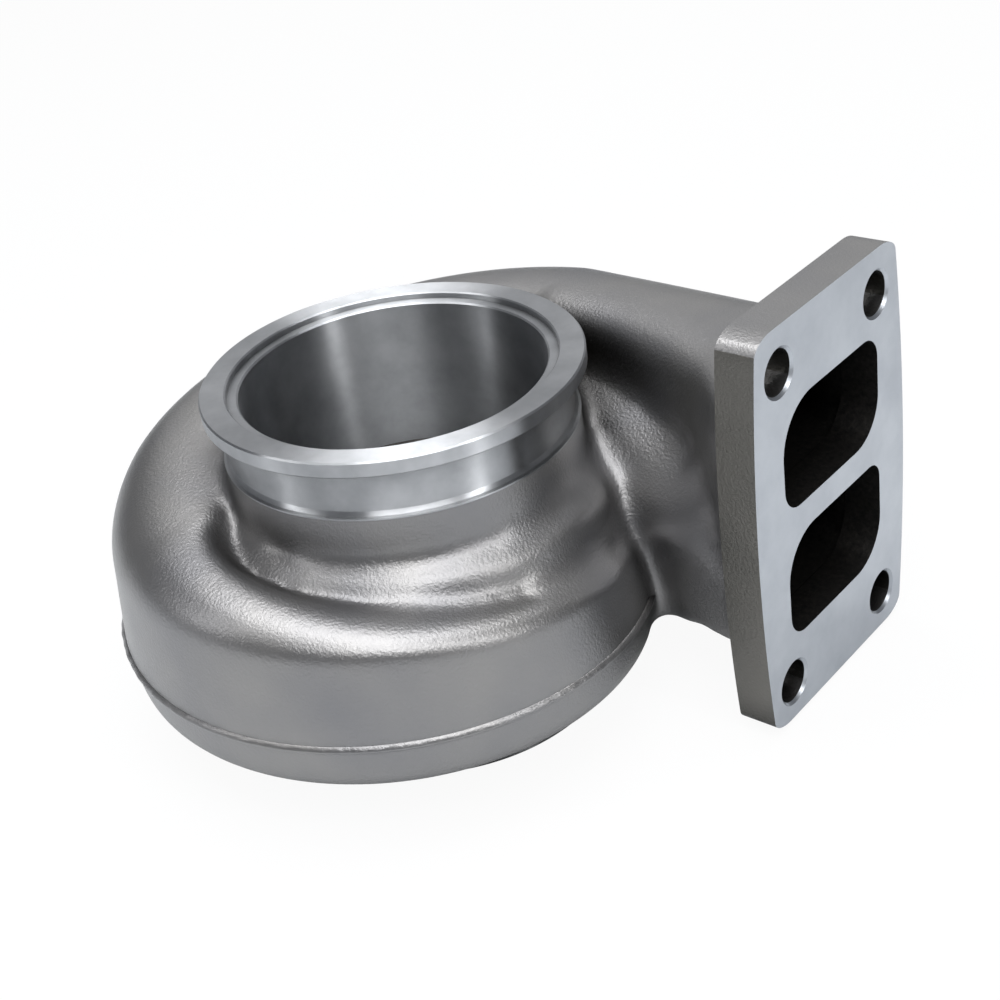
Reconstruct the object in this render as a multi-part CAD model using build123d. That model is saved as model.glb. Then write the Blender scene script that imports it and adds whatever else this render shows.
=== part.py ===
from build123d import *
import os
from math import cos, sin, radians, sqrt

os.makedirs("parts", exist_ok=True)

# Turbine housing of a turbocharger: one casting. Millimetres, +Z is the turbine
# axis, pointing out of the gas outlet. z = 0 is the machined end face of the
# centre housing ring, on which the part rests. The inlet flange faces +X.

# ---- heights along the turbine axis ----------------------------------------
OUTLET_Z = 91.6            # end face of the outlet rim
SCROLL_BOTTOM_Z = 15.2     # underside of the scroll
RIDGE_Z = 29.1             # parting ridge round the scroll
SHOULDER_Z = 75.0          # top of the cast neck, under the clamp groove
NECK_FOOT_Z = 63.3         # where the neck starts to flare into the ledge
VALLEY_Z = 54.8            # foot of the step below the ledge

# ---- outlet ----------------------------------------------------------------
OUTLET_R = 48.0            # rim of the outlet clamp joint
REGISTER_R = 41.4          # locating recess in the outlet face
REGISTER_DEPTH = 1.7
BORE_R = 38.6              # outlet bore
RIM_H = 4.0                # straight outer height of the rim
RIM_CONE = 1.6             # drop of the clamped cone
GROOVE_R = 43.6            # machined groove below the rim
GROOVE_FLOOR_Z = 76.6
NECK_R = 45.0              # cast neck
LEDGE_R = 52.1             # rounded ledge round the neck
LEDGE_ROUND = 5.0          # radius of that round
CLAMP_ROOM = 1.0           # the roof meets the neck this far below the shoulder
LEDGE_FROM = 225.0         # the roof falls away from the neck from this angle
LEDGE_TURN = 45.0          # and has left the ledge bare after this turn
CAST_BLEND = 1.5           # how deep one cast shape dips into another

# ---- turbine wheel space and centre housing ring ---------------------------
BORE_FLOOR_Z = 49.0        # lower end of the straight outlet bore
EXDUCER_R = 33.5
EXDUCER_TOP_Z = 44.6
EXDUCER_FOOT_Z = 37.6
INDUCER_R = 37.0
NOZZLE_TOP_Z = 28.6        # upper lip of the gas slot round the wheel
NOZZLE_FLOOR_Z = 20.0      # floor of the slot
PASSAGE_FLOOR_Z = 20.6     # floor of the lower gas passage
PILOT_R = 40.0             # bore that takes the centre housing
PILOT_RUN_OUT = 0.4        # how far its tool runs past the slot floor
RING_R = 46.6              # rim of the centre housing clamp joint
RING_RIM_H = 2.6
RING_CONE = 1.2
RING_GROOVE_R = 43.8
RING_ROOT_Z = 10.4
RING_FLARE = 1.4           # how far the neck of the ring flares under the scroll
HUB_R = 60.0               # disc that carries the slot all the way round
HUB_EDGE = 3.0             # its lower edge
SLOT_R = 52.0              # radius at which the slot opens into the passages
SLOT_FLARE = 5.0           # rise of the slot's upper lip on the way there
SLOT_LIP_R = 41.0          # where that rise begins
WHEEL_ROUND = 1.6          # turned corner from the inducer to the wheel contour
WHEEL_ROUND_H = 3.6

# ---- scroll: outer shape against the wrap angle, from 90 degrees -----------
WRAP_START = 90.0
WRAP_END = 384.0
SECTIONS = 31
PASSAGE_SECTIONS = 18
UPPER_CORNERS = (2, 2, 4, 2)  # shares of the passage corners, near bottom first
LOWER_CORNERS = (2, 3, 2, 2)
RIDGE_R0 = 100.3           # ridge radius where the duct meets the scroll
TAIL_ROOM = 9.245          # from the ledge out to the ridge where the scroll ends
DOME_ANGLE = 225.0
DOME_Z = 68.6              # height of the scroll roof at DOME_ANGLE
DOME_DROP = 0.144          # loss of roof height for each degree of wrap there
DOME_BEND = 0.00008        # and how that loss grows
WAIST_IN = 3.3             # draft of the upper scroll wall, from the ridge to its top
RIDGE_LIP = 0.9            # the parting ridge stands this proud of the walls
LOWER_DRAFT = 0.8          # draft of the lower wall
UPPER_WALL_Z = 50.6        # level where the roof has become a plain wall
DOME_MIN_H = 5.6           # least height of the rounded roof
BOTTOM_CORNER_R = 5.4
DOME_INNER = 0.34          # place of the roof's top between its foot and the wall
HUB_IN_R = 41.0            # scroll sections reach in to this radius
STEP = 0.6                 # small cast step where one floor runs into another
WALL = 5.0                 # casting wall

# ---- inlet flange ----------------------------------------------------------
FLANGE_X = 94.5            # gasket face
FLANGE_T = 10.2
FLANGE_Y = 47.9            # centre of the bolt pattern
FLANGE_Z = 54.4
FLANGE_UP = 54.3           # bolt centre to top edge
FLANGE_DOWN = 53.2         # bolt centre to bottom edge
FLANGE_HALF_W = 31.4       # half width at the corners
FLANGE_BULGE = 3.3         # how far the long sides bow out
FLANGE_CORNER_R = 7.0
FLANGE_EDGE = 0.5          # broken edge round the gasket face
BOLT_PITCH_Z = 85.7
BOLT_PITCH_Y = 44.1
BOLT_HOLE_R = 5.6
BOLT_CHAMFER = 0.7
NUT_R = 9.6                # room for a nut and spanner behind each hole
NUT_L = 14.0
PORT_W = 44.2
PORT_TOP = 32.9            # edges of the two ports from the bolt centre
PORT_DIV_TOP = 5.2
PORT_DIV_BOTTOM = -2.3
PORT_BOTTOM = -30.4
PORT_OUTER_R = 9.0
PORT_INNER_R = 4.5

# ---- inlet duct stations between flange and scroll (x positions) -----------
DUCT_STEPS = 9            # stations of the lofts
# position, share of the way from flange shape to scroll shape, and how far the
# wall beside the neck has moved away from the neck side of the flange
DUCT_LAW = [(86.0, 0.0, 0.0), (77.0, 0.05, 2.4), (62.0, 0.34, 14.5), (30.0, 0.78, 27.0), (0.0, 1.0, 31.0)]
# the same for the lower passage: position, height of its shoulder above the
# divider level, and how far its wall has moved
LOWER_LAW = [(86.0, -10.0, 0.0), (77.0, -6.0, 0.6), (70.0, -1.0, 0.8), (62.0, 1.0, 1.0), (30.0, 9.0, 5.0), (0.0, 9.0, 9.0)]
DUCT_NEAR = 21.0           # duct walls at the flange
DUCT_FAR = 74.8
DUCT_TOP = 92.0
DUCT_LOW = 19.2

# ---- divided gas passages --------------------------------------------------
PASSAGE_IN_R = 50.0        # inner wall of the upper passage
PASSAGE_OUTWARD = 7.5      # how far that wall moves out beside the clamp groove
PASSAGE_LIP_R = 47.0       # the same wall beside the slot
DIVIDER_T = 4.4            # divider wall at the outside
DIVIDER_TIP_R = 45.5
DIVIDER_TIP_TOP_Z = 25.3
DIVIDER_TIP_BOTTOM_Z = 22.9
DIVIDER_RISE = 2.2         # rise of its underside from the tip to the passages
DIVIDER_RISE_TOP = 0.8     # its upper side there, above the top of the slot
PASSAGE_END = 380.0


def mix(a, b, t):
    return a + (b - a) * t


def law(table, x):
    # smooth curve through the rows of a table, by position
    rows = sorted(table)
    i = max(j for j in range(len(rows) - 1) if rows[j][0] <= x or j == 0)
    lo, hi = rows[i], rows[i + 1]
    before, after = rows[max(i - 1, 0)], rows[min(i + 2, len(rows) - 1)]
    h = hi[0] - lo[0]
    t = (x - lo[0]) / h
    out = []
    for k in range(1, len(lo)):
        m0 = (hi[k] - before[k]) / (hi[0] - before[0])
        m1 = (after[k] - lo[k]) / (after[0] - lo[0])
        out.append((2 * t ** 3 - 3 * t ** 2 + 1) * lo[k] + (t ** 3 - 2 * t ** 2 + t) * h * m0
                   + (3 * t ** 2 - 2 * t ** 3) * hi[k] + (t ** 3 - t ** 2) * h * m1)
    return out


def radial_plane(angle):
    a = radians(angle)
    return Plane(origin=(0, 0, 0), x_dir=(cos(a), sin(a), 0), z_dir=(sin(a), -cos(a), 0))


def cross_plane(x):
    # looking back from the flange: local x is +Y, local y is +Z
    return Plane(origin=(x, 0, 0), x_dir=(0, 1, 0), z_dir=(1, 0, 0))


def pieces(curve, count, arcs):
    # a curve in equal shares, as arcs or as flats
    p = [curve @ (i / count) for i in range(count + 1)]
    if arcs:
        return [Edge.make_three_point_arc(p[i], curve @ ((i + 0.5) / count), p[i + 1]) for i in range(count)]
    return [Edge.make_line(p[i], p[i + 1]) for i in range(count)]


def rounded(plane, corners, counts, arcs=False):
    # closed wire of straight sides and corners, given as (u, v, radius); counts
    # tells in how many shares each corner is made
    w = lambda u, v: plane.from_local_coords(Vector(u, v, 0))
    n = len(corners)
    cuts = []
    for i in range(n):
        px, py, _ = corners[i - 1]
        x, y, r = corners[i]
        qx, qy, _ = corners[(i + 1) % n]
        la = sqrt((px - x) ** 2 + (py - y) ** 2)
        lb = sqrt((qx - x) ** 2 + (qy - y) ** 2)
        ax, ay, bx, by = (px - x) / la, (py - y) / la, (qx - x) / lb, (qy - y) / lb
        half = sqrt(max((1 - ax * bx - ay * by) / 2, 1e-9))      # sine of half the angle
        t = r * sqrt(1 - half * half) / half
        cuts.append((w(x + ax * t, y + ay * t), w(x, y), w(x + bx * t, y + by * t)))
    edges = []
    for i in range(n):
        a, o, b = cuts[i]
        edges += pieces(Edge.make_tangent_arc(a, o - a, b), counts[i], arcs)
        edges.append(Edge.make_line(b, cuts[(i + 1) % n][0]))
    return Wire(edges)


def revolved(points):
    with BuildPart() as part:
        with BuildSketch(Plane.XZ):
            with BuildLine():
                Polyline(*points, close=True)
            make_face()
        revolve(axis=Axis.Z)
    return part.part.solid()


# ---- scroll laws -----------------------------------------------------------
def ridge_r(angle):
    # shrinks evenly to what the tail needs beside the ledge
    return mix(RIDGE_R0, LEDGE_R + TAIL_ROOM, (angle - WRAP_START) / (WRAP_END - WRAP_START))


def dome_z(angle):
    t = angle - DOME_ANGLE
    return DOME_Z - DOME_DROP * t - DOME_BEND * t * t


def wall_z(angle):
    return min(UPPER_WALL_Z, dome_z(angle) - DOME_MIN_H)


def valley(angle):
    # foot of the roof's inner side, at the radius of the ledge: low enough to leave
    # room for a clamp round the neck, then down to the foot of the ledge
    t = min(max((angle - LEDGE_FROM) / LEDGE_TURN, 0.0), 1.0)
    z = min(dome_z(angle) - 1.0, SHOULDER_Z - CLAMP_ROOM)
    return LEDGE_R, max(min(mix(z, VALLEY_Z + CAST_BLEND, t), dome_z(angle) - 0.6), SCROLL_BOTTOM_Z + 12)


def passage_in_r(angle):
    # inner wall of the upper passage, further out where it passes the clamp room
    t = min(max((LEDGE_FROM - angle) / LEDGE_TURN, 0.0), 1.0)
    return PASSAGE_IN_R + PASSAGE_OUTWARD * t * t * (3 - 2 * t)


def shell_wire(p, ro, zb, zr, waist, zw, zt, rt, inner, rin):
    # outer shape of scroll and duct: floor, bottom corner, lower wall up to the
    # parting ridge, upper wall, roof, inner side of the roof (its two handles and
    # its foot), inner wall
    w = lambda u, v: p.from_local_coords(Vector(u, v, 0))
    ru, rb, rl = ro - waist, BOTTOM_CORNER_R, ro - RIDGE_LIP - LOWER_DRAFT
    (u1, v1), (u2, v2), (uv, zv) = inner
    corner = Edge.make_tangent_arc(w(rl - rb, zb), w(rl, zb) - w(rl - rb, zb), w(rl, zb + rb))
    inner_side = Edge.make_bezier(w(rt, zt), w(u1, v1), w(u2, v2), w(uv, zv))
    return Wire(
        [Edge.make_line(w(rin, zb), w(rl - rb, zb))] + pieces(corner, 3, False)
        + [Edge.make_line(w(rl, zb + rb), w(ro - RIDGE_LIP, zr - RIDGE_LIP)),
           Edge.make_line(w(ro - RIDGE_LIP, zr - RIDGE_LIP), w(ro, zr)),
           Edge.make_line(w(ro, zr), w(ro - RIDGE_LIP, zr + RIDGE_LIP)),
           Edge.make_line(w(ro - RIDGE_LIP, zr + RIDGE_LIP), w(ru, zw)),
           Edge.make_bezier(w(ru, zw), w(ru, mix(zw, zt, 0.6)), w(mix(rt, ru, 0.6), zt), w(rt, zt))]
        + pieces(inner_side, 3, False)
        + [Edge.make_line(w(uv, zv), w(rin, zv)), Edge.make_line(w(rin, zv), w(rin, zb))])


def scroll_section(angle):
    ro, zt = ridge_r(angle), dome_z(angle)
    rv, zv = valley(angle)
    rt = mix(rv, ro - WAIST_IN, DOME_INNER)
    inner = [(mix(rt, rv, 0.7), zt), (mix(rt, rv, 0.85), mix(zt, zv, 0.5)), (rv, zv)]
    return shell_wire(radial_plane(angle), ro, SCROLL_BOTTOM_Z, RIDGE_Z, WAIST_IN, wall_z(angle), zt, rt, inner, HUB_IN_R)


def duct_section(x, f, near):
    # f: 0 at the flange, 1 at the scroll; near: y of the wall beside the neck
    a, ro1, zt1 = WRAP_START, ridge_r(WRAP_START), dome_z(WRAP_START)
    rt1 = mix(valley(a)[0], ro1 - WAIST_IN, DOME_INNER)
    zt, ro = mix(DUCT_TOP, zt1, f), mix(DUCT_FAR, ro1, f)
    rt = mix(DUCT_FAR - 14.0, rt1, f)
    inner = [(near + 8.0, zt), (near + 0.5, zt - 1.0), (near + 0.5, zt - 12.6)]
    return shell_wire(cross_plane(x), ro, mix(DUCT_LOW, SCROLL_BOTTOM_Z, f), RIDGE_Z, mix(RIDGE_LIP, WAIST_IN, f),
                      mix(DUCT_TOP - 15.0, wall_z(a), f), zt, rt, inner, near)


def divider_z(angle):
    # level of the divider at the outer wall
    return (dome_z(angle) + SCROLL_BOTTOM_Z) / 2 + 2.0


def upper_passage(angle):
    zt, ru = dome_z(angle) - WALL, ridge_r(angle) - WAIST_IN - WALL
    zd = divider_z(angle) + DIVIDER_T / 2
    zi = DIVIDER_TIP_TOP_Z + 6.0
    ri = passage_in_r(angle)
    wide, tall = ru - ri, zt - zd
    r = min(wide, tall)
    return rounded(radial_plane(angle), [
        (PASSAGE_LIP_R, zi, 1.2), (ru, zd, r * 0.16), (ru - wide * 0.03, zt - tall * 0.12, r * 0.72), (ri, zt, r * 0.3)], UPPER_CORNERS)


def lower_passage(angle):
    ro = ridge_r(angle) - WALL
    zd = divider_z(angle) - DIVIDER_T / 2
    zi = DIVIDER_TIP_BOTTOM_Z + 1.6
    r = min(ro - PASSAGE_IN_R, zd - NOZZLE_FLOOR_Z)
    return rounded(radial_plane(angle), [
        (PASSAGE_LIP_R, PASSAGE_FLOOR_Z, 1.2), (ro, PASSAGE_FLOOR_Z, r * 0.3), (ro - WAIST_IN, zd, r * 0.2), (PASSAGE_LIP_R, zi, 0.8)], LOWER_CORNERS)


def box_section(x, y0, y1, z0, z1, r0, r1, r2, r3, counts, arcs=False):
    # corners: near bottom, far bottom, far top, near top
    return rounded(cross_plane(x), [(y0, z0, r0), (y1, z0, r1), (y1, z1, r2), (y0, z1, r3)], counts, arcs)


steps = [WRAP_START + (WRAP_END - WRAP_START) * i / (SECTIONS - 1) for i in range(SECTIONS)]
passage_steps = [WRAP_START + (PASSAGE_END - WRAP_START) * i / (PASSAGE_SECTIONS - 1) for i in range(PASSAGE_SECTIONS)]

# ---- outer body ------------------------------------------------------------
hub = revolved([
    (20, 0), (RING_R, 0), (RING_R, RING_RIM_H), (RING_GROOVE_R, RING_RIM_H + RING_CONE),
    (RING_GROOVE_R, RING_ROOT_Z), (RING_R + RING_FLARE, SCROLL_BOTTOM_Z + STEP), (HUB_R - HUB_EDGE, SCROLL_BOTTOM_Z + STEP),
    (HUB_R, SCROLL_BOTTOM_Z + HUB_EDGE + STEP), (HUB_R, NOZZLE_TOP_Z + 4), (LEDGE_R, VALLEY_Z - CAST_BLEND)]
    + [(LEDGE_R - LEDGE_ROUND * (1 - cos(radians(a))), VALLEY_Z + LEDGE_ROUND * sin(radians(a))) for a in (0, 45, 90)]
    + [(NECK_R + 0.8, mix(VALLEY_Z + LEDGE_ROUND, NECK_FOOT_Z, 0.3)), (NECK_R, NECK_FOOT_Z + 1.0),
    (NECK_R, SHOULDER_Z), (GROOVE_R, GROOVE_FLOOR_Z),
    (GROOVE_R, OUTLET_Z - RIM_H - RIM_CONE), (OUTLET_R, OUTLET_Z - RIM_H), (OUTLET_R, OUTLET_Z), (20, OUTLET_Z)])
xb = FLANGE_X - FLANGE_T
yc, zc = FLANGE_Y, FLANGE_Z
mid = zc + (PORT_DIV_TOP + PORT_DIV_BOTTOM) / 2
floor = SCROLL_BOTTOM_Z + STEP
stations = [(xb + 1) * (1 - i / DUCT_STEPS) for i in range(DUCT_STEPS)]
shell = Solid.make_loft(
    [duct_section(x, law(DUCT_LAW, x)[0], DUCT_NEAR + law(DUCT_LAW, x)[1]) for x in stations]
    + [scroll_section(a) for a in steps], True)
lower_duct = Solid.make_loft([
    box_section(x, DUCT_NEAR + law(LOWER_LAW, x)[1], DUCT_FAR - 4 + 3 * law(DUCT_LAW, x)[0],
                mix(DUCT_LOW + STEP, floor + STEP, law(DUCT_LAW, x)[0]), mid + law(LOWER_LAW, x)[0], 8, 5, 4, 9, (2, 1, 1, 3))
    for x in stations + [0]], True)


def flange_face(x):
    # rounded plate with bowed long sides
    p = cross_plane(x)
    w = lambda u, v: p.from_local_coords(Vector(u, v, 0))
    h, b = FLANGE_HALF_W, FLANGE_BULGE
    z0, z1 = zc - FLANGE_DOWN, zc + FLANGE_UP
    zm = (z0 + z1) / 2
    plate = Face(Wire([
        Edge.make_line(w(yc - h, z0), w(yc + h, z0)),
        Edge.make_three_point_arc(w(yc + h, z0), w(yc + h + b, zm), w(yc + h, z1)),
        Edge.make_line(w(yc + h, z1), w(yc - h, z1)),
        Edge.make_three_point_arc(w(yc - h, z1), w(yc - h - b, zm), w(yc - h, z0)),
    ]))
    return plate.fillet_2d(FLANGE_CORNER_R, plate.vertices())


flange = Solid.extrude(flange_face(xb), Vector(FLANGE_T, 0, 0))
flange = flange.chamfer(FLANGE_EDGE, None, flange.faces().sort_by(Axis.X)[-1].edges())
holes = [(yc + sy * BOLT_PITCH_Y / 2, zc + sz * BOLT_PITCH_Z / 2) for sy in (-1, 1) for sz in (-1, 1)]
bolt_cuts = []
nut_cuts = []
for y, z in holes:
    pl = Plane(origin=(xb - 1, y, z), x_dir=(0, 1, 0), z_dir=(1, 0, 0))
    bolt_cuts.append(Solid.make_cylinder(BOLT_HOLE_R, FLANGE_T + 2, pl))
    pf = Plane(origin=(FLANGE_X - BOLT_CHAMFER, y, z), x_dir=(0, 1, 0), z_dir=(1, 0, 0))
    bolt_cuts.append(Solid.make_cone(BOLT_HOLE_R, BOLT_HOLE_R + 2 * BOLT_CHAMFER, 2 * BOLT_CHAMFER, pf))
    pn = Plane(origin=(xb - NUT_L, y, z), x_dir=(0, 1, 0), z_dir=(1, 0, 0))
    nut_cuts.append(Solid.make_cylinder(NUT_R, NUT_L, pn))

body = hub.fuse(shell.fuse(lower_duct).cut(*nut_cuts), flange)

# ---- gas passages ----------------------------------------------------------
pa, pb, pc, pd = zc + PORT_TOP, zc + PORT_DIV_TOP, zc + PORT_DIV_BOTTOM, zc + PORT_BOTTOM
y0, y1 = yc - PORT_W / 2, yc + PORT_W / 2
ru90, ro90 = ridge_r(WRAP_START) - WAIST_IN - WALL, ridge_r(WRAP_START) - WALL
roof = dome_z(WRAP_START) - WALL
ri, rp = PORT_INNER_R, PORT_OUTER_R


def upper_port(x):
    return box_section(x, y0, y1, pb, pa, ri, ri, rp, rp, UPPER_CORNERS, True)


def lower_port(x):
    return box_section(x, y0, y1, pd, pc, rp, rp, ri, ri, LOWER_CORNERS, True)


depth = Vector(-FLANGE_T - 1, 0, 0)
# how far the neck-side walls of the two passages move, as the laws above
UPPER_WAY = [(84.3, 0.0, 0.0), (77.0, 0.03, 1.6), (62.0, 0.34, 14.5), (30.0, 0.78, 25.5), (0.0, 1.0, passage_in_r(WRAP_START) - y0)]
LOWER_WAY = [(84.3, 0.0, 0.0), (77.0, 0.03, 0.3), (62.0, 0.34, 2.5), (30.0, 0.78, 14.5), (0.0, 1.0, PASSAGE_LIP_R - y0)]


def upper_station(x):
    f, shift = law(UPPER_WAY, x)
    return box_section(x, y0 + shift, mix(y1, ru90, f), pb - 7.0 * f, mix(pa, roof, f), mix(ri, 3, f), 5, mix(rp, 15, f), mix(rp, 6, f), UPPER_CORNERS)


def lower_station(x):
    f, shift = law(LOWER_WAY, x)
    return box_section(x, y0 + shift, mix(y1, ro90, f), mix(pd, PASSAGE_FLOOR_Z, f), pc - 5.0 * f, mix(rp, 3.5, f), 8, mix(ri, 6, f), mix(ri, 3, f), LOWER_CORNERS)


ways = [xb - 5, 72.0, 63.0, 54.0, 44.0, 33.0, 22.0, 11.0]
upper_way = Solid.make_loft(
    [upper_port(xb)] + [upper_station(x) for x in ways] + [upper_passage(a) for a in passage_steps],
    True).fuse(Solid.extrude(Face(upper_port(FLANGE_X + 1)), depth))
lower_way = Solid.make_loft(
    [lower_port(xb)] + [lower_station(x) for x in ways] + [lower_passage(a) for a in passage_steps],
    True).fuse(Solid.extrude(Face(lower_port(FLANGE_X + 1)), depth))
slot = revolved([
    (EXDUCER_R - 5, NOZZLE_TOP_Z), (SLOT_LIP_R, NOZZLE_TOP_Z), (SLOT_R, NOZZLE_TOP_Z + SLOT_FLARE),
    (SLOT_R, NOZZLE_TOP_Z + DIVIDER_RISE_TOP), (DIVIDER_TIP_R, DIVIDER_TIP_TOP_Z), (DIVIDER_TIP_R, DIVIDER_TIP_BOTTOM_Z),
    (SLOT_R, DIVIDER_TIP_BOTTOM_Z + DIVIDER_RISE), (SLOT_R, NOZZLE_FLOOR_Z), (EXDUCER_R - 5, NOZZLE_FLOOR_Z)])
bore = revolved([
    (0, -1), (PILOT_R, -1), (PILOT_R, NOZZLE_FLOOR_Z + PILOT_RUN_OUT),
    (INDUCER_R, NOZZLE_FLOOR_Z + PILOT_RUN_OUT), (INDUCER_R, NOZZLE_TOP_Z + STEP),
    (INDUCER_R - WHEEL_ROUND, NOZZLE_TOP_Z + STEP + WHEEL_ROUND_H),
    (EXDUCER_R, EXDUCER_FOOT_Z), (EXDUCER_R, EXDUCER_TOP_Z), (BORE_R, BORE_FLOOR_Z),
    (BORE_R, OUTLET_Z - REGISTER_DEPTH), (REGISTER_R, OUTLET_Z - REGISTER_DEPTH), (REGISTER_R, OUTLET_Z + 1), (0, OUTLET_Z + 1)])

housing = body.cut(bore, slot, upper_way, lower_way, *bolt_cuts)
if not isinstance(housing, Solid):
    housing = housing.solids().sort_by(lambda s: s.volume)[-1]
housing.label = "turbine_housing"
export_step(housing, "parts/turbine_housing.step")
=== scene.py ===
from math import asin, cos, degrees, pi, radians, sin, sqrt

import bmesh
import bpy
from mathutils import Matrix, Vector
from mathutils.bvhtree import BVHTree


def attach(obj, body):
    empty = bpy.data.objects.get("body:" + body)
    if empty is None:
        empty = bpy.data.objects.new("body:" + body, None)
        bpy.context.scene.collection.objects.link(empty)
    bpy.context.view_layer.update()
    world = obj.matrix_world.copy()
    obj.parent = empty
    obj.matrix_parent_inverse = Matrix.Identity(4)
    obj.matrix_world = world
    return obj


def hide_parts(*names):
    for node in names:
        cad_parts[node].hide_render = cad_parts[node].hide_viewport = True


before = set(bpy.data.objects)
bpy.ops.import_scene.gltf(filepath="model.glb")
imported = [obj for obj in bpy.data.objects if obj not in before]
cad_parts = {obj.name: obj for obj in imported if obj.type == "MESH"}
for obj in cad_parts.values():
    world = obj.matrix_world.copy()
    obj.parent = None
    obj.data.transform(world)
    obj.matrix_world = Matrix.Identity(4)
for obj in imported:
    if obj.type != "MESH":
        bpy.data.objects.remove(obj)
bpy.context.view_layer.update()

MM = 0.001
bpy.ops.object.select_all(action="DESELECT")

# ---------------------------------------------------------------------------
# Scroll casting: spiral gas casing, inlet duct and neck, sand cast in iron as
# one piece. Its sections change at every degree of wrap, so they are worked out
# and skinned, then melted together so that the walls meet in cast fillets.
# ---------------------------------------------------------------------------
WRAP_START, WRAP_END = 90.0, 384.0
RIDGE_R0, TAIL_ROOM, RIDGE_Z = 100.3, 9.245, 29.1
DOME_Z, DOME_DROP, DOME_BEND, DOME_ANGLE = 68.6, 0.144, 0.00008, 225.0
WAIST_IN, UPPER_WALL_Z, DOME_MIN_H, DOME_INNER = 3.3, 50.6, 5.6, 0.34
RIDGE_LIP, LOWER_DRAFT = 0.9, 0.8
SCROLL_BOTTOM_Z, BOTTOM_CORNER_R = 15.2, 5.4
NECK_R, LEDGE_R, LEDGE_ROUND, VALLEY_Z = 45.0, 52.1, 7.0, 54.8
LEDGE_FROM, LEDGE_TURN, CLAMP_ROOM, CAST_BLEND = 225.0, 45.0, 1.0, 1.5
TOUCH_FROM, TOUCH_TURN = 200.0, 25.0        # where the roof's foot moves on to the ledge
NECK_SINK = 0.3               # the neck lies this far inside the ledge's own round
NECK_FOOT_Z, SHOULDER_Z = 63.3, 75.0
HUB_IN_R, HUB_R, HOLLOW_R = 41.0, 60.0, 41.5
FLANGE_X, FLANGE_T, FLANGE_Y, FLANGE_Z = 94.5, 10.2, 47.9, 54.4
FLANGE_UP, FLANGE_DOWN, FLANGE_HALF_W, FLANGE_BULGE = 54.3, 53.2, 31.4, 3.3
FLANGE_CORNER_R = 7.0
FLANGE_BACK = FLANGE_X - FLANGE_T
BOLT_PITCH_Y, BOLT_PITCH_Z, BOLT_HOLE_R, BOLT_CHAMFER = 44.1, 85.7, 5.6, 0.7
NUT_R, NUT_L = 9.6, 14.0
DUCT_NEAR, DUCT_FAR, DUCT_TOP, DUCT_LOW = 21.0, 74.8, 92.0, 19.2
DUCT_END, DUCT_X0, PLATE_IN = 86.0, 88.0, 90.0
# x, share of the scroll's section, shift of the near wall
DUCT_LAW = [(86.0, 0.0, 0.0), (77.0, 0.05, 2.4), (62.0, 0.34, 14.5), (30.0, 0.78, 27.0), (0.0, 1.0, 31.0)]
# x, lift of the lower half's nose, shift of its near wall
LOWER_LAW = [(86.0, -10.0, 0.0), (77.0, -6.0, 0.6), (70.0, -1.0, 0.8), (62.0, 1.0, 1.0),
             (30.0, 9.0, 5.0), (0.0, 9.0, 9.0)]
NOSE_R, FLOOR_R, SADDLE_SLOPE = 8.0, 5.0, 1.25
ROOF_RUN, ROOF_ROUND, NEAR_WALL_H, UPPER_WALL_H = 14.0, 8.0, 12.6, 15.0      # the duct's upper half
FLOOR_BEND_X, FLOOR_BEND_RUN, FLOOR_DROP = 60.0, 24.0, 8.0
PORT_MID = 1.45               # middle of the divider above the bolt centre
DUCT_STEPS, TURN_STEPS, RING_STEPS = 36, 126, 44      # sections, and points down an inner side
CAST_GRAIN = 1.0              # size of the remesh cells, in mm
HOLLOW_DEPTH, FILLET_REACH, TONGUE_REACH = 0.045, 3, 5
TONGUE_X, TONGUE_Y = (36, 70), (-14, 30)
MELT_ROUNDS, FILLET_ROUNDS, TONGUE_ROUNDS, SETTLE_ROUNDS = 9, 80, 160, 12


def mix(a, b, t):
    return a + (b - a) * t


def law(table, x):
    # smooth curve through the rows of a table
    rows = sorted(table)
    i = max(j for j in range(len(rows) - 1) if rows[j][0] <= x or j == 0)
    lo, hi = rows[i], rows[i + 1]
    before, after = rows[max(i - 1, 0)], rows[min(i + 2, len(rows) - 1)]
    h = hi[0] - lo[0]
    t = (x - lo[0]) / h
    out = []
    for k in range(1, len(lo)):
        m0 = (hi[k] - before[k]) / (hi[0] - before[0])
        m1 = (after[k] - lo[k]) / (after[0] - lo[0])
        out.append((2 * t ** 3 - 3 * t ** 2 + 1) * lo[k] + (t ** 3 - 2 * t ** 2 + t) * h * m0
                   + (3 * t ** 2 - 2 * t ** 3) * hi[k] + (t ** 3 - t ** 2) * h * m1)
    return out


def ridge_r(angle):
    return mix(RIDGE_R0, LEDGE_R + TAIL_ROOM, (angle - WRAP_START) / (WRAP_END - WRAP_START))


def dome_z(angle):
    t = angle - DOME_ANGLE
    return DOME_Z - DOME_DROP * t - DOME_BEND * t * t


def wall_z(angle):
    return min(UPPER_WALL_Z, dome_z(angle) - DOME_MIN_H)


def valley(angle):
    # foot of the roof's inner side: clear of a clamp while the roof is high, then
    # on the neck, and down the round of the ledge
    t = min(max((angle - LEDGE_FROM) / LEDGE_TURN, 0.0), 1.0)
    z = min(dome_z(angle) - 1.0, SHOULDER_Z - CLAMP_ROOM)
    z = mix(z, VALLEY_Z + 0.2, t * t * (3 - 2 * t))
    z = max(min(z, dome_z(angle) - 1.0), SCROLL_BOTTOM_Z + 12)
    rise = min(max(z - VALLEY_Z, 0.0), LEDGE_ROUND)
    touch = LEDGE_R - LEDGE_ROUND + sqrt(LEDGE_ROUND ** 2 - rise ** 2) + 0.2
    u = min(max((angle - TOUCH_FROM) / TOUCH_TURN, 0.0), 1.0)
    return mix(LEDGE_R, touch, u * u * (3 - 2 * u)), z


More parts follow.
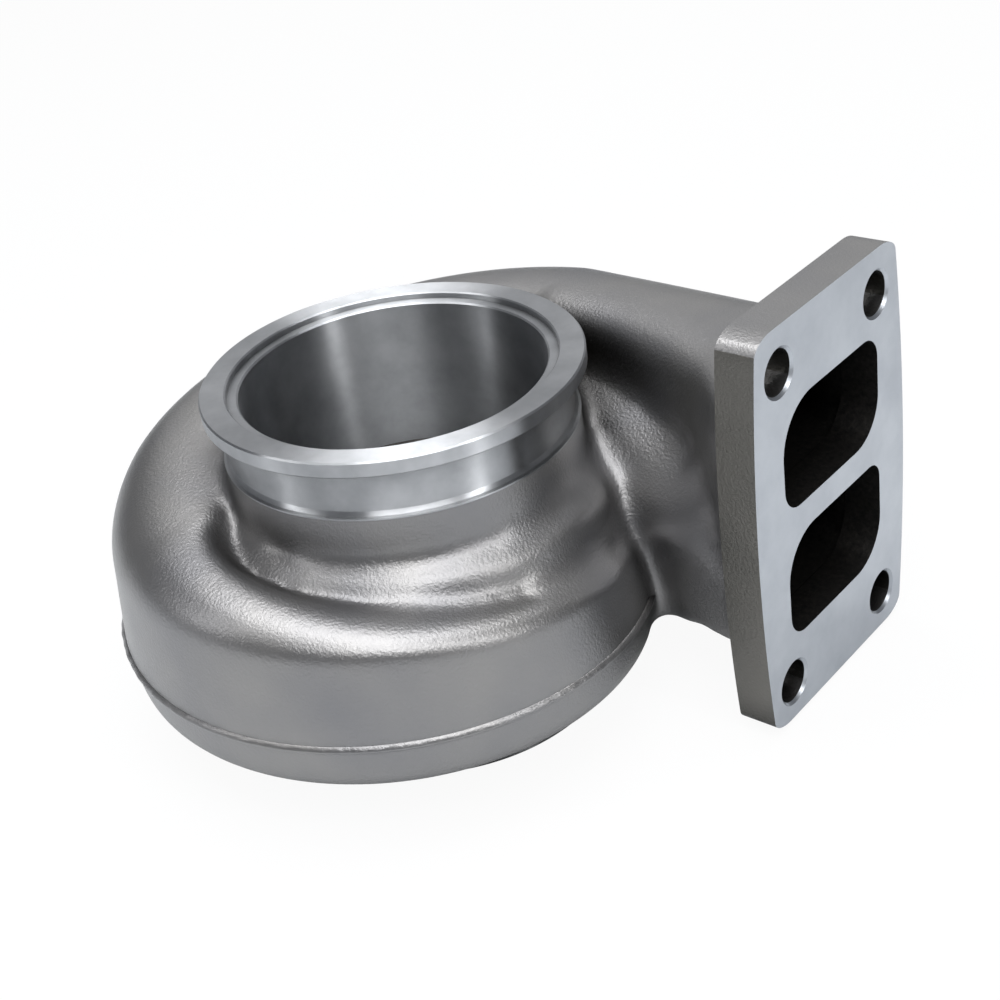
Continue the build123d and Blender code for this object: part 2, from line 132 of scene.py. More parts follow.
def bezier(p, count):
    # points along one cubic curve, its start left out
    out = []
    for i in range(1, count + 1):
        t = i / count
        k = ((1 - t) ** 3, 3 * t * (1 - t) ** 2, 3 * t * t * (1 - t), t ** 3)
        out.append((sum(w * q[0] for w, q in zip(k, p)), sum(w * q[1] for w, q in zip(k, p))))
    return out


def run(a, b, count):
    return [(mix(a[0], b[0], i / count), mix(a[1], b[1], i / count)) for i in range(1, count + 1)]


def evened(line, count, rounds):
    # the line again in equal steps, its corners worn round, its ends kept
    length = [0.0]
    for a, b in zip(line, line[1:]):
        length.append(length[-1] + sqrt((a[0] - b[0]) ** 2 + (a[1] - b[1]) ** 2))
    out, k = [], 0
    for i in range(count + 1):
        want = length[-1] * i / count
        while k < len(line) - 2 and length[k + 1] < want:
            k += 1
        t = (want - length[k]) / max(length[k + 1] - length[k], 1e-9)
        out.append((mix(line[k][0], line[k + 1][0], t), mix(line[k][1], line[k + 1][1], t)))
    for _ in range(rounds):
        out = [out[0]] + [((a[0] + 2 * b[0] + c[0]) / 4, (a[1] + 2 * b[1] + c[1]) / 4)
                          for a, b, c in zip(out, out[1:], out[2:])] + [out[-1]]
    return out[1:]


def ledge_line(foot):
    # from the foot of the roof in to the neck: over the rounded ledge where the
    # foot lies low, straight to the neck where it lies high
    z = foot[1]
    inner_r = LEDGE_R - LEDGE_ROUND
    low = max(z, VALLEY_Z)
    if low < VALLEY_Z + LEDGE_ROUND:
        start = degrees(asin((low - VALLEY_Z) / LEDGE_ROUND))
        turns = [radians(mix(start, 90, i / 8)) for i in range(9)]
        arc = [(inner_r + LEDGE_ROUND * cos(a), VALLEY_Z + LEDGE_ROUND * sin(a)) for a in turns]
        return [foot, (arc[0][0] + 0.02, z)] + arc + [(NECK_R - 0.1, VALLEY_Z + LEDGE_ROUND + 4)]
    return [foot, (NECK_R - 0.1, z), (NECK_R - 0.1, z + 4)]


def shell_ring(ro, zb, zr, waist, zw, zt, rt, inner, rin, ledge=False):
    # one closed section: floor, corner, lower wall, upper wall, roof, inner side
    # with or without the ledge, inner wall
    ru, rw, rb = ro - waist, ro - RIDGE_LIP, BOTTOM_CORNER_R
    rl = rw - LOWER_DRAFT
    k = 0.4477 * rb
    foot = inner[-1]
    inside = [(rt, zt)] + bezier([(rt, zt), inner[0], inner[1], foot], 12)
    if ledge:
        inside = evened(inside + ledge_line(foot)[1:], RING_STEPS, 7)
    else:
        inside = evened(inside + run(foot, (rin, foot[1]), 4), RING_STEPS, 2)
    return (run((rin, zb), (rl - rb, zb), 6)
            + bezier([(rl - rb, zb), (rl - k, zb), (rl, zb + k), (rl, zb + rb)], 5)
            + run((rl, zb + rb), (rw, zr), 4)
            + run((rw, zr), (ru, zw), 8)
            + bezier([(ru, zw), (ru, mix(zw, zt, 0.6)), (mix(rt, ru, 0.6), zt), (rt, zt)], 12)
            + inside
            + run(inside[-1], (rin, inside[-1][1]), 2)
            + run((rin, inside[-1][1]), (rin, zb), 6))


def scroll_ring(angle):
    ro, zt = ridge_r(angle), dome_z(angle)
    rv, zv = valley(angle)
    rt = mix(rv, ro - WAIST_IN, DOME_INNER)
    inner = [(mix(rt, rv, 0.7), zt), (mix(rt, rv, 0.85), mix(zt, zv, 0.5)), (rv, zv)]
    a = radians(angle)
    return [Vector((u * cos(a), u * sin(a), v)) for u, v in shell_ring(
        ro, SCROLL_BOTTOM_Z, RIDGE_Z, WAIST_IN, wall_z(angle), zt, rt, inner, HUB_IN_R, True)]


def duct_ring(x):
    f, shift = law(DUCT_LAW, min(x, DUCT_END))
    near = DUCT_NEAR + shift
    ro1, zt1 = ridge_r(WRAP_START), dome_z(WRAP_START)
    rt1 = mix(valley(WRAP_START)[0], ro1 - WAIST_IN, DOME_INNER)
    zt, ro, rt = mix(DUCT_TOP, zt1, f), mix(DUCT_FAR, ro1, f), mix(DUCT_FAR - ROOF_RUN, rt1, f)
    inner = [(near + ROOF_ROUND, zt), (near + 0.5, zt - 1.0), (near + 0.5, zt - NEAR_WALL_H)]
    return [Vector((x, u, v)) for u, v in shell_ring(
        ro, mix(DUCT_LOW, SCROLL_BOTTOM_Z, f), RIDGE_Z, mix(RIDGE_LIP, WAIST_IN, f),
        mix(DUCT_TOP - UPPER_WALL_H, wall_z(WRAP_START), f), zt, rt, inner, near)]


def lower_ring(x):
    # lower half of the duct: a rounded nose beside the neck that slopes up to the
    # upper wall, and a floor that runs down to the flange in a wide fillet
    f, wall = law(DUCT_LAW, min(x, DUCT_END))
    lift, shift = law(LOWER_LAW, min(x, DUCT_END))
    y0, y1, ys = DUCT_NEAR + shift, DUCT_FAR - 4 + 3 * f, DUCT_NEAR + wall + 3
    z0 = mix(DUCT_LOW, SCROLL_BOTTOM_Z, f) + 0.6 - FLOOR_DROP * (max(x - FLOOR_BEND_X, 0.0) / FLOOR_BEND_RUN) ** 2
    z1 = FLANGE_Z + PORT_MID + lift
    z2 = min(z1 + SADDLE_SLOPE * (ys - y0), SHOULDER_Z - CLAMP_ROOM - 0.5)
    out = []
    for y, z, r, start in ((y0, z0, NOSE_R, 180), (y1, z0, FLOOR_R, 270)):
        cy, cz = (y + r if y == y0 else y - r), z + r
        for i in range(7):
            a = radians(start + 15 * i)
            out.append(Vector((x, cy + r * cos(a), cz + r * sin(a))))
    out += [Vector((x, y, z)) for y, z in [(y1, z2)] + run((y1, z2), (ys, z2), 3)
            + bezier([(ys, z2), (mix(y0, ys, 0.5), z1 + 2.5), (y0 + 4, z1 + 4), (y0, z1 - 11)], 14)]
    return out


def skinned(name, rings):
    # a flat grid, one row for each section, bent to the sections and closed
    count, rows = len(rings[0]), len(rings)
    bpy.ops.mesh.primitive_grid_add(x_subdivisions=count, y_subdivisions=rows - 1, size=1)
    piece = bpy.context.object
    piece.name = name
    for v in piece.data.vertices:
        i, j = round((v.co.x + 0.5) * count), round((v.co.y + 0.5) * (rows - 1))
        v.co = rings[j][i % count] * MM
    bpy.ops.object.mode_set(mode="EDIT")
    bpy.ops.mesh.select_all(action="SELECT")
    bpy.ops.mesh.remove_doubles(threshold=1e-6)
    bpy.ops.mesh.select_all(action="DESELECT")
    bpy.ops.mesh.select_mode(type="EDGE")
    bpy.ops.mesh.select_non_manifold(extend=False, use_wire=False, use_multi_face=False,
                                     use_non_contiguous=False, use_verts=False)
    bpy.ops.mesh.fill_holes(sides=0)
    bpy.ops.mesh.select_all(action="SELECT")
    bpy.ops.mesh.normals_make_consistent(inside=False)
    bpy.ops.object.mode_set(mode="OBJECT")
    return piece


def spun(name, profile, steps):
    # a closed outline in the XZ plane, turned once round the turbine axis
    bpy.ops.mesh.primitive_circle_add(vertices=len(profile), radius=1, fill_type="NOTHING")
    piece = bpy.context.object
    piece.name = name
    for v, (r, z) in zip(piece.data.vertices, profile):
        v.co = Vector((r, 0, z)) * MM
    bpy.ops.object.mode_set(mode="EDIT")
    bpy.ops.mesh.select_all(action="SELECT")
    bpy.ops.mesh.spin(steps=steps, angle=2 * pi, center=(0, 0, 0), axis=(0, 0, 1))
    bpy.ops.mesh.select_all(action="SELECT")
    bpy.ops.mesh.remove_doubles(threshold=2e-6)
    bpy.ops.mesh.normals_make_consistent(inside=False)
    bpy.ops.object.mode_set(mode="OBJECT")
    return piece


def cut_with(piece, tool):
    # takes a tool shape out of a piece and throws the tool away
    m = piece.modifiers.new("cut", "BOOLEAN")
    m.operation, m.object, m.solver = "DIFFERENCE", tool, "EXACT"
    bpy.context.view_layer.objects.active = piece
    bpy.ops.object.modifier_apply(modifier=m.name)
    bpy.data.objects.remove(tool, do_unlink=True)


def soften(piece, name, rounds, group=""):
    # smooths the whole piece, or one group of its points
    m = piece.modifiers.new(name, "SMOOTH")
    m.factor, m.iterations, m.vertex_group = 0.5, rounds, group
    bpy.context.view_layer.objects.active = piece
    bpy.ops.object.modifier_apply(modifier=m.name)


def rod(x0, x1, y, z, r, r_end=None, sides=64):
    # a round bar or a cone along X, from x0 to x1
    bpy.ops.mesh.primitive_cone_add(
        vertices=sides, radius1=r * MM, radius2=(r if r_end is None else r_end) * MM, depth=(x1 - x0) * MM,
        location=((x0 + x1) / 2 * MM, y * MM, z * MM), rotation=(0, pi / 2, 0))
    bpy.ops.object.transform_apply(location=True, rotation=True, scale=True)
    return bpy.context.object


def plate(name, x0, x1, inset, corner_r, steps=12):
    # the flange outline: a box whose long sides bow out, with rounded corners
    z0, z1 = FLANGE_Z - FLANGE_DOWN + inset, FLANGE_Z + FLANGE_UP - inset
    half, zm, hz = FLANGE_HALF_W - inset, (z0 + z1) / 2, (z1 - z0) / 2
    bpy.ops.mesh.primitive_cube_add(size=1, location=((x0 + x1) / 2 * MM, FLANGE_Y * MM, zm * MM),
                                    scale=((x1 - x0) * MM, 2 * half * MM, 2 * hz * MM))
    bpy.ops.object.transform_apply(location=True, rotation=True, scale=True)
    piece = bpy.context.object
    piece.name = name
    bow_r = (hz ** 2 + FLANGE_BULGE ** 2) / (2 * FLANGE_BULGE)
    bpy.ops.object.mode_set(mode="EDIT")
    for i in range(1, 2 * steps):
        bpy.ops.mesh.select_all(action="SELECT")
        bpy.ops.mesh.bisect(plane_co=(0, 0, mix(z0, z1, i / (2 * steps)) * MM), plane_no=(0, 0, 1))
    bpy.ops.object.mode_set(mode="OBJECT")
    for v in piece.data.vertices:
        h = v.co.z / MM - zm
        out = sqrt(bow_r ** 2 - h ** 2) - (bow_r - FLANGE_BULGE)
        v.co.y += (out if v.co.y > FLANGE_Y * MM else -out) * MM
    bpy.ops.object.mode_set(mode="EDIT")
    bpy.ops.mesh.select_all(action="DESELECT")
    bpy.ops.mesh.select_mode(type="EDGE")
    work = bmesh.from_edit_mesh(piece.data)
    for e in work.edges:
        a, b = e.verts[0].co, e.verts[1].co
        at_end = all(min(abs(p.z - z0 * MM), abs(p.z - z1 * MM)) < 1e-6 for p in (a, b))
        e.select = at_end and abs(a.y - b.y) < 1e-6 and abs(a.x - b.x) > 1e-4
    work.select_flush_mode()
    bmesh.update_edit_mesh(piece.data)
    bpy.ops.mesh.bevel(offset=corner_r * MM, offset_type="OFFSET", segments=10, profile=0.5)
    bpy.ops.mesh.select_all(action="SELECT")
    bpy.ops.mesh.normals_make_consistent(inside=False)
    bpy.ops.object.mode_set(mode="OBJECT")
    return piece


bolt_places = [(FLANGE_Y + sy * BOLT_PITCH_Y / 2, FLANGE_Z + sz * BOLT_PITCH_Z / 2)
               for sy in (-1, 1) for sz in (-1, 1)]
duct_xs = [DUCT_X0 * (1 - i / DUCT_STEPS) for i in range(DUCT_STEPS)]
turn_angles = [WRAP_START + (WRAP_END - WRAP_START) * i / TURN_STEPS for i in range(TURN_STEPS + 1)]
casting = skinned("scroll_casting", [duct_ring(x) for x in duct_xs] + [scroll_ring(a) for a in turn_angles])
lower_duct = skinned("lower_duct", [lower_ring(x) for x in duct_xs + [0.0]])
for y, z in bolt_places:
    cut_with(casting, rod(FLANGE_BACK - NUT_L, PLATE_IN, y, z, NUT_R))
    cut_with(lower_duct, rod(FLANGE_BACK - NUT_L, PLATE_IN, y, z, NUT_R))
neck_ledge_r, neck_ledge_z = LEDGE_R - NECK_SINK, VALLEY_Z - NECK_SINK
neck = spun("neck", [
    (HOLLOW_R, 12.0), (44.5, 12.0), (46.8, 15.4), (HUB_R - 3, 15.6), (HUB_R, 18.6), (HUB_R, 32.6),
    (neck_ledge_r, VALLEY_Z - CAST_BLEND)]
    + [(neck_ledge_r - LEDGE_ROUND * (1 - cos(radians(15 * i))), neck_ledge_z + LEDGE_ROUND * sin(radians(15 * i)))
       for i in range(7)]
    + [(NECK_R - 0.1, VALLEY_Z + LEDGE_ROUND + 3), (NECK_R, VALLEY_Z + LEDGE_ROUND + 5), (NECK_R, SHOULDER_Z + 3),
       (HOLLOW_R, SHOULDER_Z + 3)], 144)
back = plate("flange_back", FLANGE_BACK, PLATE_IN, 0.12, FLANGE_CORNER_R)
bpy.ops.object.select_all(action="DESELECT")
for piece in (lower_duct, neck, back, casting):
    piece.select_set(True)
bpy.context.view_layer.objects.active = casting
bpy.ops.object.join()
m = casting.modifiers.new("melt", "REMESH")
m.mode, m.voxel_size, m.adaptivity = "VOXEL", CAST_GRAIN * MM, 0.0
bpy.ops.object.modifier_apply(modifier=m.name)
soften(casting, "fillets", MELT_ROUNDS)
# a wider fillet wherever two cast walls meet: the hollow places and what lies
# within a few millimetres of them
work = bmesh.new()
work.from_mesh(casting.data)
hollows = set()
for v in work.verts:
    ring = [e.other_vert(v).co for e in v.link_edges]
    if (sum(ring, Vector()) / len(ring) - v.co).dot(v.normal) > HOLLOW_DEPTH * MM:
        hollows.add(v.index)
work.verts.ensure_lookup_table()
for _ in range(FILLET_REACH):
    hollows |= {e.other_vert(work.verts[k]).index for k in hollows for e in work.verts[k].link_edges}
work.free()
casting.vertex_groups.new(name="hollows").add(list(hollows), 1.0, "REPLACE")
soften(casting, "wide_fillets", FILLET_ROUNDS, "hollows")
# wider still where the tail of the scroll runs under the duct
spots = casting.data.vertices
tongue = {k for k in hollows if TONGUE_X[0] < spots[k].co.x / MM < TONGUE_X[1]
          and TONGUE_Y[0] < spots[k].co.y / MM < TONGUE_Y[1]}
ends_of = {}
for e in casting.data.edges:
    ends_of.setdefault(e.vertices[0], []).append(e.vertices[1])
    ends_of.setdefault(e.vertices[1], []).append(e.vertices[0])
for _ in range(TONGUE_REACH):
    tongue |= {k for v in tongue for k in ends_of[v]}
casting.vertex_groups.new(name="tongue").add(list(tongue), 1.0, "REPLACE")
soften(casting, "tongue_fillet", TONGUE_ROUNDS, "tongue")
soften(casting, "settle", SETTLE_ROUNDS)
# the four bolt holes come out at the back of the plate
for y, z in bolt_places:
    cut_with(casting, rod(FLANGE_BACK - 1.5, 95, y, z, BOLT_HOLE_R))
# open ends: at the turned shoulder, inside the flange plate and along the bore
bpy.ops.object.mode_set(mode="EDIT")
for co, no in (((0, 0, SHOULDER_Z), (0, 0, 1)), ((FLANGE_BACK + 2.2, 0, 0), (1, 0, 0))):
    bpy.ops.mesh.select_all(action="SELECT")
    # only the neck's own top is cut at the shoulder, not the higher duct
    if no[2]:
        work = bmesh.from_edit_mesh(casting.data)
        for f in work.faces:
            c = f.calc_center_median() / MM
            f.select = sqrt(c.x ** 2 + c.y ** 2) < NECK_R + 0.4 and c.z > SHOULDER_Z - 4
        bmesh.update_edit_mesh(casting.data)
    bpy.ops.mesh.bisect(plane_co=[c * MM for c in co], plane_no=no, clear_outer=True)
bpy.ops.mesh.select_all(action="DESELECT")
work = bmesh.from_edit_mesh(casting.data)
for f in work.faces:
    c = f.calc_center_median() / MM
    f.select = sqrt(c.x ** 2 + c.y ** 2) < HOLLOW_R + 0.9
bmesh.update_edit_mesh(casting.data)
bpy.ops.mesh.delete(type="FACE")
bpy.ops.object.mode_set(mode="OBJECT")


def linear(code):
    # an sRGB hex colour in linear light
    out = []
    for i in (0, 2, 4):
        c = int(code[i:i + 2], 16) / 255
        out.append(c / 12.92 if c <= 0.04045 else ((c + 0.055) / 1.055) ** 2.4)
    return (*out, 1.0)


def add_node(tree, kind, settings=None, **inputs):
    # one node: its settings, then its sockets, each a value or another's output
    node = tree.nodes.new(kind)
    for key, value in (settings or {}).items():
        setattr(node, key, value)
    for key, value in inputs.items():
        by_number = key[0] == "i" and key[1:].isdigit()
        socket = node.inputs[int(key[1:])] if by_number else node.inputs[key.replace("_", " ")]
        if isinstance(value, bpy.types.NodeSocket):
            tree.links.new(value, socket)
        else:
            socket.default_value = value
    return node


def new_material(name):
    # a material with an empty node tree
    material = bpy.data.materials.new(name)
    material.use_nodes = True
    material.node_tree.nodes.clear()
    return material, material.node_tree


def ramp(tree, source, low, high, dark, light):
    # the dark colour up to the low value, the light one from the high value on
    node = add_node(tree, "ShaderNodeValToRGB", {}, Fac=source)
    for stop, position, code in zip(node.color_ramp.elements, (low, high), (dark, light)):
        stop.position, stop.color = position, linear(code)
    return node


# Grey iron as it comes from the sand after blasting: a satin metal skin with the
# print of the sand, under a millimetre across. Where two walls meet the colour is
# painted darker, a painted shade that gives the valleys their depth.
cast_iron, tree = new_material("blasted_cast_iron")
place = add_node(tree, "ShaderNodeTexCoord").outputs["Object"]
sand = add_node(tree, "ShaderNodeTexNoise", {}, Vector=place, Scale=1000 / 0.75, Detail=2.0, Roughness=0.6)
lumps = add_node(tree, "ShaderNodeTexNoise", {}, Vector=place, Scale=1000 / 7, Detail=2.0, Roughness=0.5)
patch = add_node(tree, "ShaderNodeTexNoise", {}, Vector=place, Scale=1000 / 30, Detail=2.0, Roughness=0.5)
tone = ramp(tree, patch.outputs["Fac"], 0.3, 0.7, "7d7d7f", "8a8988")
tone.name = "iron_tone"
# painted shade: the colour darkens wherever other walls lie within 22 mm
shade = add_node(tree, "ShaderNodeAmbientOcclusion", {"samples": 6}, Distance=0.022)
painted_shade = ramp(tree, shade.outputs["AO"], 0.36, 0.76, "45423e", "ffffff")
tint = add_node(tree, "ShaderNodeMix", {"data_type": "RGBA", "blend_type": "MULTIPLY"},
                i0=1.0, i6=tone.outputs["Color"], i7=painted_shade.outputs["Color"])
deep = add_node(tree, "ShaderNodeBump", {}, Strength=0.12, Distance=0.0005, Height=lumps.outputs["Fac"])
bump = add_node(tree, "ShaderNodeBump", {}, Strength=0.75, Distance=0.00016,
                Height=sand.outputs["Fac"], Normal=deep.outputs["Normal"])
skin = add_node(tree, "ShaderNodeBsdfPrincipled", {}, Base_Color=tint.outputs[2],
                Metallic=0.92, Roughness=0.38, Normal=bump.outputs["Normal"])
add_node(tree, "ShaderNodeOutputMaterial", {}, Surface=skin.outputs["BSDF"])

casting.data.materials.clear()
casting.data.materials.append(cast_iron)
casting.data.shade_smooth()
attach(casting, "root")
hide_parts("turbine_housing")

# ---------------------------------------------------------------------------
# Parting ridge: the thin proud line where the two halves of the sand mould met,
# along the duct and round the scroll. A fine bead that follows their outline.
# ---------------------------------------------------------------------------
BEAD_H, BEAD_ROOT, BEAD_WAVE = 1.0, 0.8, 0.1
BEAD_X0, BEAD_DUCT_STEPS, BEAD_TURN_STEPS = 84.0, 90, 440


def bead(ro, wave):
    # its section: root in the wall, flanks and a blunt crest
    rw, top = ro - RIDGE_LIP, ro - 0.12 + wave
    return [(rw - BEAD_ROOT, RIDGE_Z - BEAD_H - 0.5), (rw + 0.05, RIDGE_Z - BEAD_H), (top, RIDGE_Z - 0.3 + wave),
            (top, RIDGE_Z + 0.3 + wave), (rw, RIDGE_Z + BEAD_H), (rw - BEAD_ROOT, RIDGE_Z + BEAD_H + 0.5)]


bead_rings = []
for i in range(BEAD_DUCT_STEPS):
    x = BEAD_X0 * (1 - i / BEAD_DUCT_STEPS)
    f = law(DUCT_LAW, x)[0]
    wave = BEAD_WAVE * sin(i * 0.71) * sin(i * 0.37)
    bead_rings.append([Vector((x, u, v)) for u, v in bead(mix(DUCT_FAR, ridge_r(WRAP_START), f), wave)])
for i in range(BEAD_TURN_STEPS + 1):
    a = WRAP_START + (WRAP_END - WRAP_START) * i / BEAD_TURN_STEPS
    wave = BEAD_WAVE * sin(i * 0.83) * sin(i * 0.31)
    bead_rings.append([Vector((u * cos(radians(a)), u * sin(radians(a)), v)) for u, v in bead(ridge_r(a), wave)])
ridge = skinned("parting_ridge", bead_rings)
ridge.data.materials.append(cast_iron)
ridge.data.shade_smooth()
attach(ridge, "root")
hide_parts("turbine_housing")

# ---------------------------------------------------------------------------
# Outlet: clamp rim, groove, register and bore, turned in the same casting once
# it had cooled. Its edges are crisp and its faces keep the marks of the tool.
# ---------------------------------------------------------------------------
OUTLET_Z, OUTLET_R, RIM_H, RIM_CONE = 91.6, 48.0, 4.0, 1.6
REGISTER_R, REGISTER_DEPTH, BORE_R, BORE_FLOOR_Z = 41.4, 1.7, 38.6, 49.0
GROOVE_R, GROOVE_FLOOR_Z = 43.6, 76.6
EXDUCER_R, EXDUCER_TOP_Z, EXDUCER_FOOT_Z = 33.5, 44.6, 37.6
INDUCER_R, NOZZLE_TOP_Z = 37.0, 28.6
outlet = spun("outlet_turning", [
    (43.0, 72.5), (NECK_R + 0.15, 74.6), (NECK_R + 0.15, SHOULDER_Z), (NECK_R - 0.5, SHOULDER_Z + 0.3),
    (GROOVE_R + 0.5, SHOULDER_Z + 0.7), (GROOVE_R + 0.15, GROOVE_FLOOR_Z - 0.3), (GROOVE_R, GROOVE_FLOOR_Z + 0.6),
    (GROOVE_R, OUTLET_Z - RIM_H - RIM_CONE - 0.2),
    (GROOVE_R + 0.2, OUTLET_Z - RIM_H - RIM_CONE), (OUTLET_R - 0.3, OUTLET_Z - RIM_H - 0.1),
    (OUTLET_R, OUTLET_Z - RIM_H + 0.3), (OUTLET_R, OUTLET_Z - 0.4), (OUTLET_R - 0.4, OUTLET_Z),
    (REGISTER_R + 0.35, OUTLET_Z), (REGISTER_R, OUTLET_Z - 0.35), (REGISTER_R, OUTLET_Z - REGISTER_DEPTH),
    (BORE_R + 0.4, OUTLET_Z - REGISTER_DEPTH), (BORE_R, OUTLET_Z - REGISTER_DEPTH - 0.4), (BORE_R, 70.0),
    (BORE_R, BORE_FLOOR_Z), (EXDUCER_R, EXDUCER_TOP_Z), (EXDUCER_R, EXDUCER_FOOT_Z),
    (INDUCER_R - 1.6, NOZZLE_TOP_Z + 4.2), (INDUCER_R, NOZZLE_TOP_Z + 0.6), (INDUCER_R, NOZZLE_TOP_Z),
    (41.0, NOZZLE_TOP_Z), (42.0, NOZZLE_TOP_Z + 1.4), (43.2, 36.0)], 256)

# Turned iron: bright, with fine rings round the axis just under a millimetre
# apart, which draw the light out into streaks across them. The bore is painted
# darker with its depth: painted shade where its walls close in.
turned, tree = new_material("turned_iron")
place = add_node(tree, "ShaderNodeTexCoord").outputs["Object"]
axes = add_node(tree, "ShaderNodeSeparateXYZ", {}, Vector=place)
rr = add_node(tree, "ShaderNodeMath", {"operation": "MULTIPLY"}, i0=axes.outputs["X"], i1=axes.outputs["X"])
yy = add_node(tree, "ShaderNodeMath", {"operation": "MULTIPLY"}, i0=axes.outputs["Y"], i1=axes.outputs["Y"])
r2 = add_node(tree, "ShaderNodeMath", {"operation": "ADD"}, i0=rr.outputs[0], i1=yy.outputs[0])
radius = add_node(tree, "ShaderNodeMath", {"operation": "SQRT"}, i0=r2.outputs[0])
feed = add_node(tree, "ShaderNodeCombineXYZ", {}, X=radius.outputs[0], Y=0.0, Z=axes.outputs["Z"])
rings = add_node(tree, "ShaderNodeTexNoise", {}, Vector=feed.outputs[0], Scale=1000 / 0.9, Detail=2.0, Roughness=0.5)
haze = add_node(tree, "ShaderNodeTexNoise", {}, Vector=place, Scale=1000 / 9, Detail=3.0, Roughness=0.6)
tone = ramp(tree, haze.outputs["Fac"], 0.3, 0.7, "a3a5a8", "b6b8bb")
bump = add_node(tree, "ShaderNodeBump", {}, Strength=0.12, Distance=0.00005, Height=rings.outputs["Fac"])
# painted shade: the colour darkens where the walls of the bore close round
shade = add_node(tree, "ShaderNodeAmbientOcclusion", {"samples": 6}, Distance=0.06)
painted_depth_shade = ramp(tree, shade.outputs["AO"], 0.1, 0.75, "77766f", "ffffff")
tint = add_node(tree, "ShaderNodeMix", {"data_type": "RGBA", "blend_type": "MULTIPLY"},
                i0=1.0, i6=tone.outputs["Color"], i7=painted_depth_shade.outputs["Color"])
round_axis = add_node(tree, "ShaderNodeTangent", {"direction_type": "RADIAL", "axis": "Z"})
skin = add_node(tree, "ShaderNodeBsdfPrincipled", {}, Base_Color=tint.outputs[2], Metallic=1.0, Roughness=0.36,
                Anisotropic=0.96, Anisotropic_Rotation=0.25, Tangent=round_axis.outputs[0],
                Normal=bump.outputs["Normal"])
add_node(tree, "ShaderNodeOutputMaterial", {}, Surface=skin.outputs["BSDF"])
outlet.data.materials.append(turned)


def crisp(piece, angle):
    # smooth shading that keeps every edge sharper than the angle
    bpy.ops.object.select_all(action="DESELECT")
    piece.select_set(True)
    bpy.context.view_layer.objects.active = piece
    bpy.ops.object.shade_smooth_by_angle(angle=radians(angle))


crisp(outlet, 20)
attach(outlet, "root")
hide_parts("turbine_housing")

# ---------------------------------------------------------------------------
# Centre housing ring: the other clamp rim and the bore that the centre housing
# goes into, turned from the same casting on the side that the part rests on.
# ---------------------------------------------------------------------------
PILOT_R, RING_R, RING_RIM_H, RING_CONE, RING_GROOVE_R, RING_ROOT_Z = 40.0, 46.6, 2.6, 1.2, 43.8, 10.4
NOZZLE_FLOOR_Z = 20.0
ring = spun("centre_housing_ring", [
    (PILOT_R, 0.0), (RING_R - 0.3, 0.0), (RING_R, 0.3), (RING_R, RING_RIM_H), (RING_GROOVE_R, RING_RIM_H + RING_CONE),
    (RING_GROOVE_R, RING_ROOT_Z), (RING_R + 1.4, 15.9), (RING_R + 1.4, 17.0), (43.0, NOZZLE_FLOOR_Z - 0.3),
    (PILOT_R, NOZZLE_FLOOR_Z)], 192)
ring.data.materials.append(turned)
crisp(ring, 20)
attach(ring, "root")
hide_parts("turbine_housing")

# ---------------------------------------------------------------------------
# Inlet flange: the thick plate that bolts to the manifold. Its gasket face is
# ground flat; four bolt holes and the two gas ports go through it.
# ---------------------------------------------------------------------------
PORT_W, PORT_TOP, PORT_DIV_TOP, PORT_DIV_BOTTOM, PORT_BOTTOM = 44.2, 32.9, 5.2, -2.3, -30.4
# corner radii: near low, near high, far low, far high
UPPER_PORT_R, LOWER_PORT_R = (6.5, 13.5, 11.5, 6.5), (6.5, 12.5, 12.5, 5.0)


def port_bar(z0, z1, near_low, near_high, far_low, far_high):
    # a bar with the port's outline and its four corner radii, longer than the
    # plate is thick
    x0, x1 = FLANGE_BACK - 4, FLANGE_X + 3
    bpy.ops.mesh.primitive_cube_add(
        size=1, location=((x0 + x1) / 2 * MM, FLANGE_Y * MM, (FLANGE_Z + (z0 + z1) / 2) * MM),
        scale=((x1 - x0) * MM, PORT_W * MM, (z1 - z0) * MM))
    bpy.ops.object.transform_apply(location=True, rotation=True, scale=True)
    bar = bpy.context.object
    corners = [(near_low, -1, z0), (near_high, -1, z1), (far_low, 1, z0), (far_high, 1, z1)]
    for r, side, z in corners:
        y_edge, z_edge = (FLANGE_Y + side * PORT_W / 2) * MM, (FLANGE_Z + z) * MM
        bpy.ops.object.mode_set(mode="EDIT")
        bpy.ops.mesh.select_mode(type="EDGE")
        bpy.ops.mesh.select_all(action="DESELECT")
        work = bmesh.from_edit_mesh(bar.data)
        for e in work.edges:
            a, b = e.verts[0].co, e.verts[1].co
            e.select = all(abs(p.z - z_edge) < 1e-6 and abs(p.y - y_edge) < 1e-6 for p in (a, b))
        work.select_flush_mode()
        bmesh.update_edit_mesh(bar.data)
        bpy.ops.mesh.bevel(offset=r * MM, offset_type="OFFSET", segments=12, profile=0.5)
        bpy.ops.object.mode_set(mode="OBJECT")
    return bar


flange = plate("inlet_flange", FLANGE_BACK + 0.15, FLANGE_X, 0.0, FLANGE_CORNER_R, 14)
cut_with(flange, port_bar(PORT_DIV_TOP, PORT_TOP, *UPPER_PORT_R))
cut_with(flange, port_bar(PORT_BOTTOM, PORT_DIV_BOTTOM, *LOWER_PORT_R))
for y, z in bolt_places:
    cut_with(flange, rod(FLANGE_BACK - 4, FLANGE_X + 3, y, z, BOLT_HOLE_R))
    cut_with(flange, rod(FLANGE_X - BOLT_CHAMFER, FLANGE_X + BOLT_CHAMFER, y, z,
                         BOLT_HOLE_R, BOLT_HOLE_R + 2 * BOLT_CHAMFER))
m = flange.modifiers.new("broken_edges", "BEVEL")
m.width, m.segments, m.limit_method, m.angle_limit = 0.45 * MM, 2, "ANGLE", radians(50)
bpy.context.view_layer.objects.active = flange
bpy.ops.object.modifier_apply(modifier=m.name)

